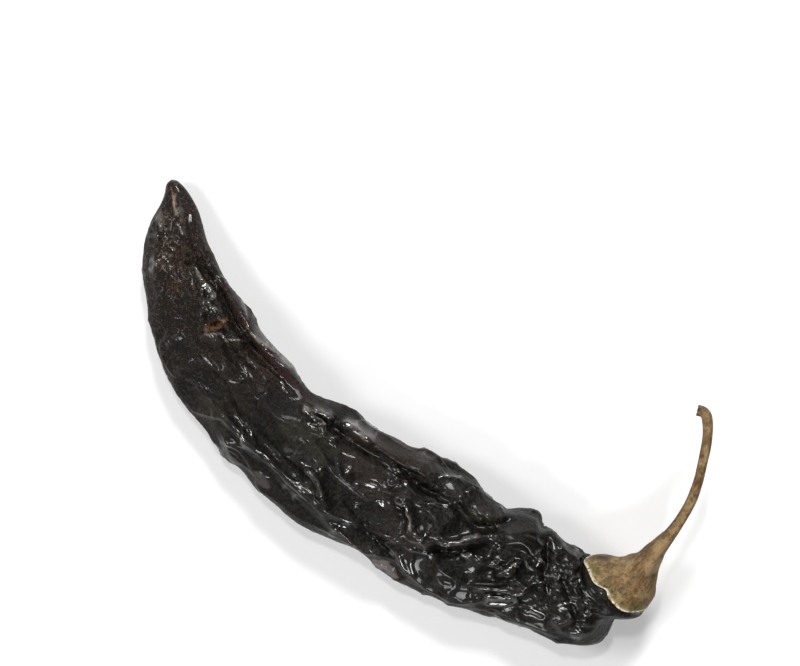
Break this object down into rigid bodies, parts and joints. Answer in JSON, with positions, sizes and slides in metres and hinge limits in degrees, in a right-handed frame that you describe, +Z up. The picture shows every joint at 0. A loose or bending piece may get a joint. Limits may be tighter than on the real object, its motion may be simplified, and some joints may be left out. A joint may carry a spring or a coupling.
{
  "type": "dried pasilla pepper",
  "caption": "Long curved dried pepper pod lying on its side, folded and wrinkled all over, with a cup-shaped calyx on its shoulder and a thin hooked stem.",
  "frame": {"origin": "middle of the footprint of the whole pepper, on the surface it lies on", "axes": "+X from the pod's tip towards its stem end, +Y towards the inside of the pod's curve, where the stem hooks, +Z up"},
  "size_m": [0.1732, 0.099, 0.0223],
  "materials": {
    "dried_skin": "near-black brown dried skin, glossy on its ridges and duller and browner towards the tip",
    "dried_stem": "matte tan-brown dried stem and calyx, mottled with olive"
  },
  "bodies": {
    "root": {"pod": "dried_skin", "stem_with_calyx": "dried_stem"}
  },
  "joints": []
}
